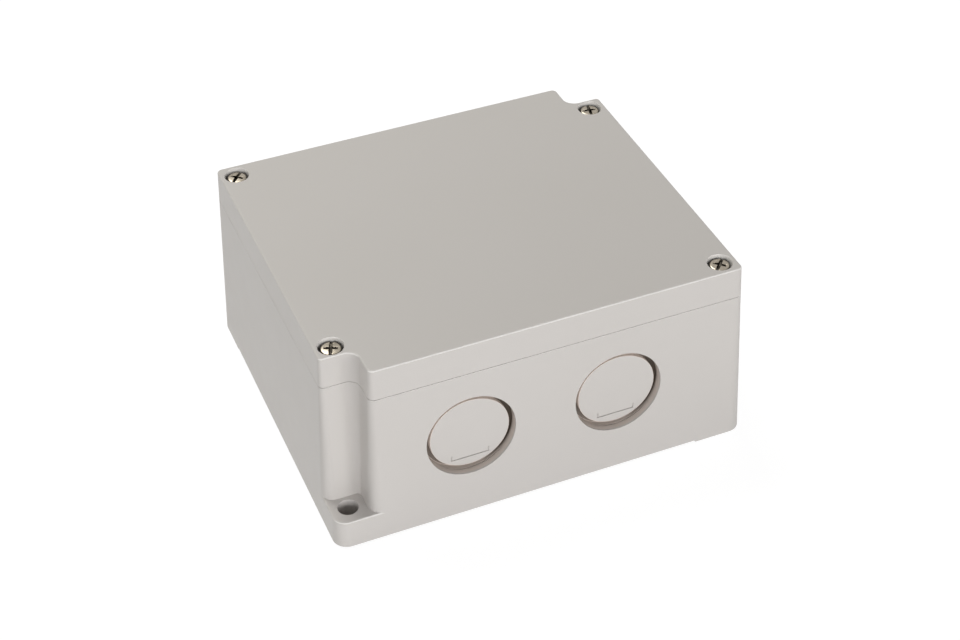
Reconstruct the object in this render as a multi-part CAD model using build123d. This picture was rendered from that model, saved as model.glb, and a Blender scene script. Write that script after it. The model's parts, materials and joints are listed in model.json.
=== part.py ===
from build123d import *
import math
import os

# Junction box with two notched corners, a screwed lid and a row of rail terminals inside.
# Millimetres. X runs along the front wall, Y towards the back, Z up. The origin is the centre
# of the footprint, on the plane that the feet stand on.

# Outer form
SEAM_LENGTH = 186.4
SEAM_WIDTH = 161.0
BOX_HEIGHT = 90.0
LID_HEIGHT = 15.1
WALL_FLARE = 3.6
WALL = 3.2
CORNER_R = 3.1
LID_DRAFT = 0.7
LID_EDGE_R = 0.8
SEAM_GAP = 0.2
SEAM_EDGE_R = 0.2

# Notches at the front left and the back right corner, with the wall-fixing feet in them
NOTCH_X = 15.8
NOTCH_Y = 15.3
NOTCH_INNER_R = 5.0
NOTCH_SIDE_R = 2.4
FOOT_Z = 14.3
FOOT_EDGE_R = 0.7
FIXING_INSET_X = 8.8
FIXING_INSET_Y = 9.6
FIXING_HEAD_R = 4.55
FIXING_HOLE_R = 2.75
FIXING_SEAT_Z = 5.0
FIXING_BOSS_R = 7.3

# Floor and what it stands on
PAD_HEIGHT = 0.85
PAD_SIZE = 24.0
FLOOR = 3.0
FLOOR_EDGE_R = 1.5

# Lid screws
SCREW_INSET = 8.15
NOTCH_SCREW_INSET = 22.45
POST_R = 6.3
SCREW_R = 2.5
SCREW_LENGTH = 20.0
SCREW_POINT = 0.7
SCREW_HEAD_R = 4.7
SCREW_HEAD_H = 3.2
SCREW_HEAD_EDGE_R = 1.3
SCREW_HEAD_DROP = 1.0
SCREW_SLOT_WIDTH = 1.2
SCREW_SLOT_DEPTH = 1.1
CROSS_REACH = 3.2
CROSS_WIDTH = 1.4
CROSS_DEPTH = 2.4
SCREW_ANGLES = (68, 47, 80, 50)
LID_HOLE_R = 2.9
COUNTERBORE_R = 5.5
COUNTERBORE_RIM_R = 0.4
WASHER_R = 5.0
WASHER_T = 0.8
INSERT_R = 3.6
INSERT_LENGTH = 10.0
INSERT_SINK = 0.4
INSERT_GROOVE_W = 1.6
INSERT_GROOVE_DEPTH = 0.5
THREAD_CLEAR = 0.05

# Seal between lid and base, measured outwards from the edge of the cavity
TONGUE = 1.3
TONGUE_H = 2.6
SEAL_CLEAR = 0.3
SEAL_RIB = 1.3
SEAL_RIB_DROP = 1.5
GROOVE_TOP = 5.5
GASKET_CLEAR = 0.1
LID_PLATE = 3.0
CAVITY_R = 2.0

# Knockouts in the front and back walls
KNOCKOUT_X = 34.1
KNOCKOUT_RISE = 0.56
KNOCKOUT_R = 20.25
KNOCKOUT_GAP = 2.3
KNOCKOUT_DROP = 2.3
KNOCKOUT_GROOVE = 5.2
KNOCKOUT_SLOPE = 0.12
KNOCKOUT_WEB = 1.0
KNOCKOUT_PAD_R = 23.5
MARK_LENGTH = 17.4
MARK_TICK = 2.8
MARK_LINE = 0.5
MARK_DEPTH = 0.45
MARK_DROP = 13.8

# Floor bosses and the mounting rail that is screwed to two of them
BOSS_Y = 50.0
BOSS_R = 4.5
BOSS_H = 6.0
BOSS_HOLE_R = 1.6
RAIL_LENGTH = 150.0
RAIL_WIDTH = 35.0
RAIL_INNER = 27.0
RAIL_H = 7.5
RAIL_T = 1.0
RAIL_SLOTS = 6
RAIL_SLOT_LENGTH = 15.0
RAIL_SLOT_WIDTH = 6.2
RAIL_SCREW_R = 3.8
RAIL_SCREW_HEAD_H = 2.6
RAIL_SCREW_EDGE_R = 1.2
RAIL_SCREW_LENGTH = 6.5
RAIL_CROSS_REACH = 2.2
RAIL_CROSS_WIDTH = 0.9
RAIL_CROSS_DEPTH = 1.8

# Rail terminals, seen along the rail
TERMINAL_COUNT = 6
TERMINAL_PITCH = 12.0
TERMINAL_WALL = 1.5
TERMINAL_HALF = 24.0
TERMINAL_TOP = 36.0
TERMINAL_SHOULDER = 31.0
SHOULDER_RUN = 5.5
SHOULDER_DROP = 8.0
SIDE_FOOT_Z = 4.5
SIDE_FOOT_RUN = 2.6
SIDE_FOOT_DROP = 2.0
MARKER_HALF = 8.5
HOOK_CLEAR = 0.15
HOOK_GRIP = 2.0
HOOK_DEPTH = 1.2
HOOK_TIP = 3.0
HOOK_TIP_DROP = 3.2
SPRING_FOOT = 1.8
SPRING_FOOT_DROP = 1.4
CLAMP_Y = 14.2
CAGE_WIDTH = 9.6
CAGE_DEPTH = 9.0
CAGE_WALL = 1.5
CAGE_TOP = 2.6
CAGE_OPEN = 10.4
CAGE_Z = 5.5
CAGE_CLEAR = 0.3
CAGE_TRAVEL = 4.8
BAR_WIDTH = 6.2
BAR_T = 1.6
BAR_HALF = 19.0
BAR_DROP = 0.4
DIMPLE_R = 2.1
DIMPLE_DEPTH = 0.3
CLAMP_SCREW_R = 2.5
CLAMP_HEAD_R = 3.3
CLAMP_HEAD_H = 3.2
CLAMP_HEAD_EDGE = 0.4
CLAMP_SLOT_WIDTH = 1.0
CLAMP_SLOT_DEPTH = 1.6
CLAMP_SHAFT_R = 3.7
WIRE_MOUTH_R = 4.9
WIRE_THROAT_R = 3.9
END_PLATE_T = 1.8
BRACKET_T = 9.0
BRACKET_TOP = 24.0
BRACKET_SHOULDER = 18.0
BRACKET_WINDOW_Y = 12.5
BRACKET_WINDOW_HALF = 3.5
BRACKET_WINDOW_Z = 4.0
BRACKET_WALL = 1.6

# Sizes that follow from the ones above
HALF_L = SEAM_LENGTH / 2
HALF_W = SEAM_WIDTH / 2
SEAM_Z = BOX_HEIGHT - LID_HEIGHT
KNOCKOUT_Z = SEAM_Z * KNOCKOUT_RISE
FLOOR_Z = PAD_HEIGHT + FLOOR
LID_Z = SEAM_Z + SEAM_GAP
HEAD_TOP_Z = BOX_HEIGHT - SCREW_HEAD_DROP
HEAD_Z = HEAD_TOP_Z - SCREW_HEAD_H
SEAT_Z = HEAD_Z - WASHER_T
RAIL_Z = FLOOR_Z + BOSS_H
RAIL_TOP_Z = RAIL_Z + RAIL_H
RAIL_SLOT_PITCH = RAIL_LENGTH / RAIL_SLOTS
BOSS_X = RAIL_SLOT_PITCH * (RAIL_SLOTS - 1) / 2
POST_X = HALF_L - SCREW_INSET
POST_Y = HALF_W - SCREW_INSET
NOTCH_POST_Y = HALF_W - NOTCH_SCREW_INSET
UP = (0, 0, 1)
MARGIN = 1.0
OVERRUN = 0.01


def flare_at(z):
    """How far the base wall stands outside the seam's outline at a level."""
    return WALL_FLARE * (1 - z / SEAM_Z)


def rounded_wire(corners):
    """Closed wire through (x, y, radius) corners, each corner rounded by its own radius."""
    points = [Vector(x, y, 0) for x, y, radius in corners]
    enters = []
    leaves = []
    middles = []
    for i, (x, y, radius) in enumerate(corners):
        here = points[i]
        back = (points[i - 1] - here).normalized()
        ahead = (points[(i + 1) % len(points)] - here).normalized()
        half = math.radians(back.get_angle(ahead)) / 2
        inward = (back + ahead).normalized()
        cut = radius / math.tan(half)
        enters.append(here + back * cut)
        leaves.append(here + ahead * cut)
        middles.append(here + inward * (radius / math.sin(half) - radius))
    edges = []
    for i, (x, y, radius) in enumerate(corners):
        if radius > 0:
            edges.append(Edge.make_three_point_arc(enters[i], middles[i], leaves[i]))
        start = leaves[i]
        end = enters[(i + 1) % len(points)]
        if (end - start).length > 1e-6:
            edges.append(Edge.make_line(start, end))
    return Wire(edges)


def turned_half(corners):
    """The same corners once more, turned by half a turn, so that the outline closes on itself."""
    return corners + [(-x, -y, radius) for x, y, radius in corners]


def notched_outline(grow):
    """Outline of lid and base: a rectangle with a notch at two opposite corners."""
    right = HALF_L + grow
    front = -HALF_W - grow
    notch_x = -HALF_L + NOTCH_X - grow
    notch_y = HALF_W - NOTCH_Y + grow
    return turned_half([
        (notch_x, front, CORNER_R + grow),
        (right, front, CORNER_R + grow),
        (right, notch_y, NOTCH_SIDE_R + grow),
        (-notch_x, notch_y, NOTCH_INNER_R - grow),
    ])


def full_outline(grow):
    """Outline of the feet and pads: the rectangle without its notches."""
    right = HALF_L + grow
    front = -HALF_W - grow
    return turned_half([
        (-right, front, CORNER_R + grow),
        (right, front, CORNER_R + grow),
    ])


def cavity_outline(grow):
    """Edge of the inside: its walls follow the outer ones, and it steps round the four posts."""
    right = HALF_L - WALL + grow
    front = -HALF_W + WALL - grow
    post_x = POST_X - POST_R
    post_y = POST_Y - POST_R
    block_x = HALF_L - NOTCH_X - WALL + grow
    block_y = NOTCH_POST_Y - POST_R
    return turned_half([
        (-block_x, front, CAVITY_R),
        (post_x, front, CAVITY_R),
        (post_x, -post_y, POST_R),
        (right, -post_y, CAVITY_R),
        (right, block_y, CAVITY_R),
        (block_x, block_y, POST_R),
    ])


def lifted(wire, z):
    """The same wire at another level."""
    return Pos(0, 0, z) * wire


def drafted(low_wire, low, high_wire, high):
    """Solid between two outlines at two levels, with straight leaning walls."""
    return Solid.make_loft([lifted(low_wire, low), lifted(high_wire, high)], ruled=True)


def prism(outline, low, high):
    """Solid of one outline between two levels."""
    return extrude(Face(lifted(outline, low)), amount=high - low, dir=UP)


def ring(face_out, face_in, low, high):
    """Solid between two nested outlines."""
    outer = extrude(Pos(0, 0, low) * face_out, amount=high - low, dir=UP)
    inner = extrude(Pos(0, 0, low) * face_in, amount=high - low, dir=UP)
    return outer - inner


def cavity_face(distance):
    """The cavity's face, made larger or smaller by a distance."""
    face = Face(rounded_wire(cavity_outline(0)))
    if distance == 0:
        return face
    return offset(face, amount=distance)


def rod(radius, low, high, x=0, y=0):
    """Upright cylinder between two levels."""
    return Pos(x, y, (low + high) / 2) * Cylinder(radius, high - low)


def block(x0, x1, y0, y1, z0, z1):
    """Box between two opposite corners."""
    size = Box(x1 - x0, y1 - y0, z1 - z0)
    return Pos((x0 + x1) / 2, (y0 + y1) / 2, (z0 + z1) / 2) * size


def post_places():
    """Middles of the four lid screws: front left, front right, back right, back left."""
    return [(-POST_X, -NOTCH_POST_Y), (POST_X, -POST_Y), (POST_X, NOTCH_POST_Y), (-POST_X, POST_Y)]


def fixing_places():
    """Middles of the two wall-fixing holes."""
    x = HALF_L + WALL_FLARE - FIXING_INSET_X
    y = HALF_W + WALL_FLARE - FIXING_INSET_Y
    return [(-x, -y), (x, y)]


def knockout_cutter():
    """Revolved cutter for one knockout, its axis along Z and the wall's face at zero."""
    disc_r = KNOCKOUT_R - KNOCKOUT_GAP
    points = [
        (0, -KNOCKOUT_DROP),
        (disc_r, -KNOCKOUT_DROP),
        (disc_r + KNOCKOUT_SLOPE, -KNOCKOUT_GROOVE),
        (KNOCKOUT_R, -KNOCKOUT_GROOVE),
        (KNOCKOUT_R, WALL),
        (0, WALL),
    ]
    profile = Plane.XZ * make_face(Polyline(*points, close=True))
    cutter = revolve(profile, Axis.Z)
    low = -KNOCKOUT_DROP - MARK_DEPTH
    mark = block(-MARK_LENGTH / 2, MARK_LENGTH / 2, -MARK_DROP, -MARK_DROP + MARK_LINE, low, 0)
    for side in (-1, 1):
        end = side * MARK_LENGTH / 2
        inner = end - side * MARK_LINE
        mark += block(min(end, inner), max(end, inner), -MARK_DROP, -MARK_DROP + MARK_TICK, low, 0)
    return cutter + mark


# Base housing
def base_housing():
    outer = drafted(
        rounded_wire(notched_outline(flare_at(PAD_HEIGHT))), PAD_HEIGHT,
        rounded_wire(notched_outline(0)), SEAM_Z,
    )
    outer = fillet(outer.faces().sort_by(Axis.Z)[-1].outer_wire().edges(), SEAM_EDGE_R)
    outer = Part() + outer

    # The feet fill the notches up to a ledge, and two corners stand on pads
    plinth = drafted(
        rounded_wire(full_outline(flare_at(0))), 0,
        rounded_wire(full_outline(flare_at(FOOT_Z))), FOOT_Z,
    )
    plinth = fillet(plinth.faces().sort_by(Axis.Z)[-1].outer_wire().edges(), FOOT_EDGE_R)
    reach_x = HALF_L + 2 * WALL_FLARE
    reach_y = HALF_W + 2 * WALL_FLARE
    for turn in (0, 180):
        corner = block(
            -reach_x, -HALF_L + NOTCH_X + CORNER_R + WALL,
            -reach_y, -HALF_W + NOTCH_Y + NOTCH_SIDE_R + WALL,
            PAD_HEIGHT, FOOT_Z,
        )
        outer += plinth & (Rot(0, 0, turn) * corner)
        pad = block(
            HALF_L + WALL_FLARE - PAD_SIZE, reach_x,
            -reach_y, -HALF_W - WALL_FLARE + PAD_SIZE,
            0, PAD_HEIGHT,
        )
        outer += plinth & (Rot(0, 0, turn) * pad)
    for x, y in fixing_places():
        outer += rod(FIXING_BOSS_R, 0, PAD_HEIGHT, x, y)

    # Inside, with its floor edge rounded
    rim = rounded_wire(cavity_outline(0))
    foot = rounded_wire(cavity_outline(flare_at(FLOOR_Z)))
    cavity = drafted(foot, FLOOR_Z, rim, SEAM_Z)
    cavity = fillet(cavity.faces().sort_by(Axis.Z)[0].edges(), FLOOR_EDGE_R)
    cavity = Part() + cavity + prism(rim, SEAM_Z, SEAM_Z + TONGUE_H + MARGIN)
    tongue_face = Pos(0, 0, SEAM_Z - MARGIN) * cavity_face(TONGUE)
    tongue = extrude(tongue_face, amount=TONGUE_H + MARGIN, dir=UP)
    body = outer + tongue - cavity

    # Holes of the screw posts and of the wall fixings
    for x, y in post_places():
        body -= rod(INSERT_R, SEAM_Z - INSERT_SINK - INSERT_LENGTH, SEAM_Z + MARGIN, x, y)
        body -= rod(SCREW_R + 2 * THREAD_CLEAR, SEAM_Z - 2 * INSERT_LENGTH, SEAM_Z, x, y)
    for x, y in fixing_places():
        body -= rod(FIXING_HOLE_R, -MARGIN, FOOT_Z, x, y)
        body -= rod(FIXING_HEAD_R, FIXING_SEAT_Z, FOOT_Z + MARGIN, x, y)

    # Bosses on the floor
    for x in (-BOSS_X, BOSS_X):
        for y in (-BOSS_Y, 0, BOSS_Y):
            boss = rod(BOSS_R, FLOOR_Z - MARGIN, RAIL_Z, x, y)
            body += boss - rod(BOSS_HOLE_R, FLOOR_Z, RAIL_Z, x, y)

    # Knockouts in both long walls, each on a round pad that stands inside
    cutter = knockout_cutter()
    wall_y = HALF_W + flare_at(KNOCKOUT_Z)
    inner_y = wall_y - KNOCKOUT_GROOVE - KNOCKOUT_WEB
    outer_y = HALF_W + flare_at(KNOCKOUT_Z + KNOCKOUT_PAD_R) - WALL / 2
    pad = Rot(90, 0, 0) * Cylinder(KNOCKOUT_PAD_R, outer_y - inner_y)
    for x in (-KNOCKOUT_X, KNOCKOUT_X):
        for side in (-1, 1):
            body += Pos(x, side * (inner_y + outer_y) / 2, KNOCKOUT_Z) * pad
        front = Pos(x, -wall_y, KNOCKOUT_Z) * Rot(90, 0, 0) * cutter
        back = Pos(x, wall_y, KNOCKOUT_Z) * Rot(0, 0, 180) * Rot(90, 0, 0) * cutter
        body = body - front - back
    return body


def threaded_inserts():
    """Four round nuts pressed into the posts, with a shoulder groove round the middle."""
    top = SEAM_Z - INSERT_SINK
    inserts = []
    for x, y in post_places():
        nut = rod(INSERT_R, top - INSERT_LENGTH, top, x, y)
        low = top - (INSERT_LENGTH + INSERT_GROOVE_W) / 2
        groove = rod(INSERT_R, low, low + INSERT_GROOVE_W, x, y)
        groove -= rod(INSERT_R - INSERT_GROOVE_DEPTH, low, low + INSERT_GROOVE_W, x, y)
        nut = nut - groove - rod(SCREW_R + THREAD_CLEAR, top - INSERT_LENGTH, top, x, y)
        inserts.append(nut)
    return inserts


# Lid, its seal and its screws
def lid():
    shell = drafted(
        rounded_wire(notched_outline(0)), LID_Z,
        rounded_wire(notched_outline(-LID_DRAFT)), BOX_HEIGHT,
    )
    shell = fillet(shell.faces().sort_by(Axis.Z)[-1].outer_wire().edges(), LID_EDGE_R)
    shell = fillet(shell.faces().sort_by(Axis.Z)[0].outer_wire().edges(), SEAM_EDGE_R)
    shell = Part() + shell
    rib_face = cavity_face(-SEAL_CLEAR)
    hollow_face = cavity_face(-SEAL_CLEAR - SEAL_RIB)
    low = SEAM_Z - SEAL_RIB_DROP
    shell += extrude(Pos(0, 0, low) * rib_face, amount=LID_Z + MARGIN - low, dir=UP)
    shell -= ring(cavity_face(TONGUE + SEAL_CLEAR), rib_face, SEAM_Z, SEAM_Z + GROOVE_TOP)
    shell -= extrude(Pos(0, 0, low) * hollow_face, amount=BOX_HEIGHT - LID_PLATE - low, dir=UP)
    for x, y in post_places():
        shell -= rod(LID_HOLE_R, SEAM_Z, SEAT_Z, x, y)
        shell -= rod(COUNTERBORE_R, SEAT_Z, BOX_HEIGHT + MARGIN, x, y)
    tops = shell.edges().filter_by(GeomType.CIRCLE).group_by(Axis.Z)[-1]
    rims = [edge for edge in tops if abs(edge.radius - COUNTERBORE_R) < OVERRUN]
    return fillet(rims, COUNTERBORE_RIM_R)


def lid_gasket():
    outer = cavity_face(TONGUE + SEAL_CLEAR - GASKET_CLEAR)
    inner = cavity_face(-SEAL_CLEAR + GASKET_CLEAR)
    low = SEAM_Z + TONGUE_H + 2 * GASKET_CLEAR
    return ring(outer, inner, low, SEAM_Z + GROOVE_TOP - GASKET_CLEAR)


def screw_washer(x, y):
    hole = rod(SCREW_R + 2 * THREAD_CLEAR, SEAT_Z, HEAD_Z, x, y)
    return rod(WASHER_R, SEAT_Z, HEAD_Z, x, y) - hole


def drive_recess(reach, width, depth):
    """Cross recess with tapering wings, its mouth at zero and its point below."""
    wing = Polyline(
        (-reach, 0), (reach, 0), (width / 2, -depth), (-width / 2, -depth), close=True,
    )
    blade = extrude(Plane.XZ * make_face(wing), amount=width / 2, both=True)
    return blade + Rot(0, 0, 90) * blade


def lid_screw(x, y, turn):
    """Pan-head screw with a slot right across its cross recess."""
    head = rod(SCREW_HEAD_R, HEAD_Z, HEAD_TOP_Z)
    head = fillet(head.faces().sort_by(Axis.Z)[-1].edges(), SCREW_HEAD_EDGE_R)
    head = Part() + head
    slot = block(
        -SCREW_HEAD_R, SCREW_HEAD_R, -SCREW_SLOT_WIDTH / 2, SCREW_SLOT_WIDTH / 2,
        HEAD_TOP_Z - SCREW_SLOT_DEPTH, HEAD_TOP_Z + MARGIN,
    )
    recess = Pos(0, 0, HEAD_TOP_Z) * drive_recess(CROSS_REACH, CROSS_WIDTH, CROSS_DEPTH)
    shank = rod(SCREW_R, HEAD_Z - SCREW_LENGTH, HEAD_Z)
    shank = chamfer(shank.faces().sort_by(Axis.Z)[0].edges(), SCREW_POINT)
    return Pos(x, y, 0) * Rot(0, 0, turn) * (head - slot - recess + shank)


# Rail and its two screws
def mounting_rail():
    lip = RAIL_WIDTH / 2
    inner = RAIL_INNER / 2
    section = Polyline(
        (-lip, RAIL_H - RAIL_T), (-lip, RAIL_H), (-inner + RAIL_T, RAIL_H),
        (-inner + RAIL_T, RAIL_T), (inner - RAIL_T, RAIL_T), (inner - RAIL_T, RAIL_H),
        (lip, RAIL_H), (lip, RAIL_H - RAIL_T), (inner, RAIL_H - RAIL_T),
        (inner, 0), (-inner, 0), (-inner, RAIL_H - RAIL_T), close=True,
    )
    rail = extrude(Plane.YZ * make_face(section), amount=RAIL_LENGTH / 2, both=True)
    rail = Part() + rail
    slot = SlotOverall(RAIL_SLOT_LENGTH, RAIL_SLOT_WIDTH)
    for i in range(RAIL_SLOTS):
        x = i * RAIL_SLOT_PITCH - BOSS_X
        rail -= extrude(Pos(x, 0, -MARGIN) * slot, amount=RAIL_T + 2 * MARGIN, dir=UP)
    return Pos(0, 0, RAIL_Z) * rail


def rail_screws():
    screws = []
    seat = RAIL_Z + RAIL_T
    top = seat + RAIL_SCREW_HEAD_H
    for x in (-BOSS_X, BOSS_X):
        head = rod(RAIL_SCREW_R, seat, top)
        head = fillet(head.faces().sort_by(Axis.Z)[-1].edges(), RAIL_SCREW_EDGE_R)
        head = Part() + head
        head -= Pos(0, 0, top) * drive_recess(RAIL_CROSS_REACH, RAIL_CROSS_WIDTH, RAIL_CROSS_DEPTH)
        head += rod(BOSS_HOLE_R, seat - RAIL_SCREW_LENGTH, seat)
        screws.append(Pos(x, 0, 0) * head)
    return screws


# Rail terminals. Their outline is drawn along the rail, with the rail's top at zero height.
def terminal_outline(top, shoulder):
    """Side view of a terminal or of its end plate: hooks below, stepped shoulders above."""
    lip = RAIL_WIDTH / 2 + HOOK_CLEAR
    under = -RAIL_T - HOOK_CLEAR
    half = TERMINAL_HALF
    grip = lip - HOOK_GRIP
    foot = half - SIDE_FOOT_RUN
    foot_z = SIDE_FOOT_Z - SIDE_FOOT_DROP
    slope = half - SHOULDER_RUN
    slope_z = shoulder - SHOULDER_DROP
    return [
        (-lip, 0, 0), (-lip, under, 0), (-grip, under, 0), (-grip, under - HOOK_DEPTH, 0.5),
        (-lip - HOOK_TIP, under - HOOK_TIP_DROP, 0.8), (-foot, foot_z, 1.0),
        (-half, SIDE_FOOT_Z, 0.8), (-half, slope_z, 1.5), (-slope, shoulder, 1.5),
        (-MARKER_HALF, shoulder, 0.5), (-MARKER_HALF, top, 0.8), (MARKER_HALF, top, 0.8),
        (MARKER_HALF, shoulder, 0.5), (slope, shoulder, 1.5), (half, slope_z, 1.5),
        (half, SIDE_FOOT_Z, 0.8), (foot, foot_z, 1.0),
        (lip + SPRING_FOOT, under - SPRING_FOOT_DROP, 0.8), (grip, under - HOOK_DEPTH, 0.4),
        (grip, under, 0), (lip, under, 0), (lip, 0, 0),
    ]


def along_rail(wire, x0, x1):
    """Solid of a side-view wire between two places along the rail."""
    face = Plane.YZ * Face(wire)
    return extrude(Pos(x0, 0, RAIL_TOP_Z) * face, amount=x1 - x0, dir=(1, 0, 0))


def terminal_housing(x0):
    """One moulded terminal body from x0 on, open on its left side like the real ones."""
    x1 = x0 + TERMINAL_PITCH
    body = along_rail(rounded_wire(terminal_outline(TERMINAL_TOP, TERMINAL_SHOULDER)), x0, x1)
    body = Part() + body
    metal_x = cage_x(x0)
    deep = x1 - TERMINAL_WALL
    chamber_z = RAIL_TOP_Z + CAGE_Z - CAGE_CLEAR
    chamber_top = RAIL_TOP_Z + CAGE_Z + cage_height() + CAGE_TRAVEL + 2 * CAGE_CLEAR
    half = CAGE_DEPTH / 2 + CAGE_CLEAR
    bar_z = RAIL_TOP_Z + bar_level()
    body -= block(
        x0, deep, -CLAMP_Y, CLAMP_Y,
        bar_z - CAGE_CLEAR, bar_z + BAR_T + CAGE_CLEAR,
    )
    for side in (-1, 1):
        y = side * CLAMP_Y
        body -= block(x0, deep, y - half, y + half, chamber_z, chamber_top)
        body -= rod(CLAMP_SHAFT_R, chamber_top - MARGIN, RAIL_TOP_Z + TERMINAL_TOP, metal_x, y)
        wire_z = RAIL_TOP_Z + wire_level()
        length = TERMINAL_HALF - CLAMP_Y - half + 2 * OVERRUN
        mouth = Cone(WIRE_THROAT_R, WIRE_MOUTH_R, length)
        middle = side * (TERMINAL_HALF - length / 2 + OVERRUN)
        body -= Pos(metal_x, middle, wire_z) * Rot(-90 * side, 0, 0) * mouth
    return body


def cage_x(x0):
    """Middle of the metal parts in a terminal that starts at x0."""
    return x0 + (TERMINAL_PITCH - TERMINAL_WALL) / 2


def cage_height():
    return CAGE_WALL + CAGE_OPEN + CAGE_TOP


def bar_level():
    """Underside of the current bar above the rail, just below the top of the open cage."""
    return CAGE_Z + CAGE_WALL + CAGE_OPEN - BAR_DROP - BAR_T


def wire_level():
    """Height of the wire's middle above the rail."""
    return CAGE_Z + CAGE_WALL + (bar_level() - CAGE_Z - CAGE_WALL) / 2


def current_bar(x0):
    """Flat copper bar from clamp to clamp, with a dimple under each screw's point."""
    x = cage_x(x0)
    z = RAIL_TOP_Z + bar_level()
    bar = block(x - BAR_WIDTH / 2, x + BAR_WIDTH / 2, -BAR_HALF, BAR_HALF, z, z + BAR_T)
    top = z + BAR_T
    for side in (-1, 1):
        bar -= rod(DIMPLE_R, top - DIMPLE_DEPTH, top + MARGIN, x, side * CLAMP_Y)
    return bar


def clamp_cage(x0, side):
    """Steel cage that rises with its screw and lifts the wire against the bar."""
    x = cage_x(x0)
    y = side * CLAMP_Y
    z = RAIL_TOP_Z + CAGE_Z
    half_x = CAGE_WIDTH / 2
    half_y = CAGE_DEPTH / 2
    top = z + cage_height()
    cage = block(x - half_x, x + half_x, y - half_y, y + half_y, z, top)
    cage -= block(
        x - half_x + CAGE_WALL, x + half_x - CAGE_WALL, y - half_y, y + half_y,
        z + CAGE_WALL, top - CAGE_TOP,
    )
    return cage - rod(CLAMP_SCREW_R + THREAD_CLEAR, top - CAGE_TOP, top, x, y)


def clamp_screw(x0, side, turn):
    """Slotted clamping screw that stands on the bar."""
    tip = RAIL_TOP_Z + bar_level() + BAR_T + THREAD_CLEAR
    neck = RAIL_TOP_Z + CAGE_Z + cage_height() + CAGE_TRAVEL + 3 * CAGE_CLEAR
    top = neck + CLAMP_HEAD_H
    head = rod(CLAMP_HEAD_R, neck, top)
    head = Part() + chamfer(head.faces().sort_by(Axis.Z)[-1].edges(), CLAMP_HEAD_EDGE)
    head -= block(
        -CLAMP_HEAD_R, CLAMP_HEAD_R, -CLAMP_SLOT_WIDTH / 2, CLAMP_SLOT_WIDTH / 2,
        top - CLAMP_SLOT_DEPTH, top + MARGIN,
    )
    head += rod(CLAMP_SCREW_R, tip, neck)
    return Pos(cage_x(x0), side * CLAMP_Y, 0) * Rot(0, 0, turn) * head


def end_plate(x1):
    """Thin plate that closes the open side of the first terminal."""
    return along_rail(
        rounded_wire(terminal_outline(TERMINAL_TOP, TERMINAL_SHOULDER)), x1 - END_PLATE_T, x1,
    )


def end_bracket(x0):
    """Clip-on bracket that keeps the row of terminals together."""
    wire = rounded_wire(terminal_outline(BRACKET_TOP, BRACKET_SHOULDER))
    bracket = Part() + along_rail(wire, x0, x0 + BRACKET_T)
    for side in (-1, 1):
        middle = side * BRACKET_WINDOW_Y
        bracket -= block(
            x0 + BRACKET_WALL, x0 + BRACKET_T - BRACKET_WALL,
            middle - BRACKET_WINDOW_HALF, middle + BRACKET_WINDOW_HALF,
            RAIL_TOP_Z + BRACKET_WINDOW_Z, RAIL_TOP_Z + BRACKET_TOP,
        )
    return bracket


def save(name, solids):
    """Write one node, which may be a group of like solids."""
    if isinstance(solids, list):
        shape = Compound(children=[Part() + s for s in solids])
    else:
        shape = solids
    shape.label = name
    export_step(shape, os.path.join("parts", name + ".step"))


def main():
    os.makedirs("parts", exist_ok=True)
    save("base_housing", base_housing())
    save("threaded_inserts", threaded_inserts())
    save("lid", lid())
    save("lid_gasket", lid_gasket())
    corners = ("front_left", "front_right", "back_right", "back_left")
    for corner, (x, y), turn in zip(corners, post_places(), SCREW_ANGLES):
        save("screw_washer_" + corner, screw_washer(x, y))
        save("lid_screw_" + corner, lid_screw(x, y, turn))
    save("mounting_rail", mounting_rail())
    save("rail_screws", rail_screws())
    row = END_PLATE_T + TERMINAL_COUNT * TERMINAL_PITCH
    start = -row / 2 + END_PLATE_T
    save("end_plate", end_plate(start))
    save("end_bracket_left", end_bracket(-row / 2 - BRACKET_T))
    save("end_bracket_right", end_bracket(row / 2))
    for i in range(TERMINAL_COUNT):
        x0 = start + i * TERMINAL_PITCH
        kind = "earth_terminal" if i == TERMINAL_COUNT - 1 else "terminal_%d" % (i + 1)
        save(kind + "_housing", terminal_housing(x0))
        save(kind + "_current_bar", current_bar(x0))
        for place, side in (("front", -1), ("back", 1)):
            save("%s_clamp_cage_%s" % (kind, place), clamp_cage(x0, side))
            save("%s_clamp_screw_%s" % (kind, place), clamp_screw(x0, side, 25 * i + 40 * side))


main()
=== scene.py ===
# %% [markdown]
# # A moulded junction box
# The box comes in as a fixed frame: solids that already have their real size, one per physical piece.
# This lesson gives them their looks. Most of it is about one thing, pale moulded plastic, which is
# hard to get right because there is so little to see: a fine grain, soft edges and a trace of dust.

# %% Load the frame
import json
import math

import bpy
import numpy as np
from mathutils import Matrix, Vector


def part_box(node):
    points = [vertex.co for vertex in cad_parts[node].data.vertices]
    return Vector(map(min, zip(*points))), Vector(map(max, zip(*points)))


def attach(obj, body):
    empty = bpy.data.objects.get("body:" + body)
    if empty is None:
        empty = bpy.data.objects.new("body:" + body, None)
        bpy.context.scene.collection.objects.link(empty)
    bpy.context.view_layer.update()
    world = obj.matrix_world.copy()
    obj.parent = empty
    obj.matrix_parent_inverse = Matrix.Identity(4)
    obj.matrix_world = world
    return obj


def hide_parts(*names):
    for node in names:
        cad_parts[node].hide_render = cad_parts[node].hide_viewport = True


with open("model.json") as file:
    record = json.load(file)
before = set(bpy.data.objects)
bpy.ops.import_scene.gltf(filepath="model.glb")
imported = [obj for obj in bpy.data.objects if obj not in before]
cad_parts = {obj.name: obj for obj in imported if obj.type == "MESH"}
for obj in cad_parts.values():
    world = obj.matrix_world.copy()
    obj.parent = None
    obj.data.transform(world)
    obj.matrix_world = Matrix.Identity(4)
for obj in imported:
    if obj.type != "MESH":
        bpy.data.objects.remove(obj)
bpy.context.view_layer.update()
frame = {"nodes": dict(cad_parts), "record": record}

MM = 0.001
nodes = frame["nodes"]


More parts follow.
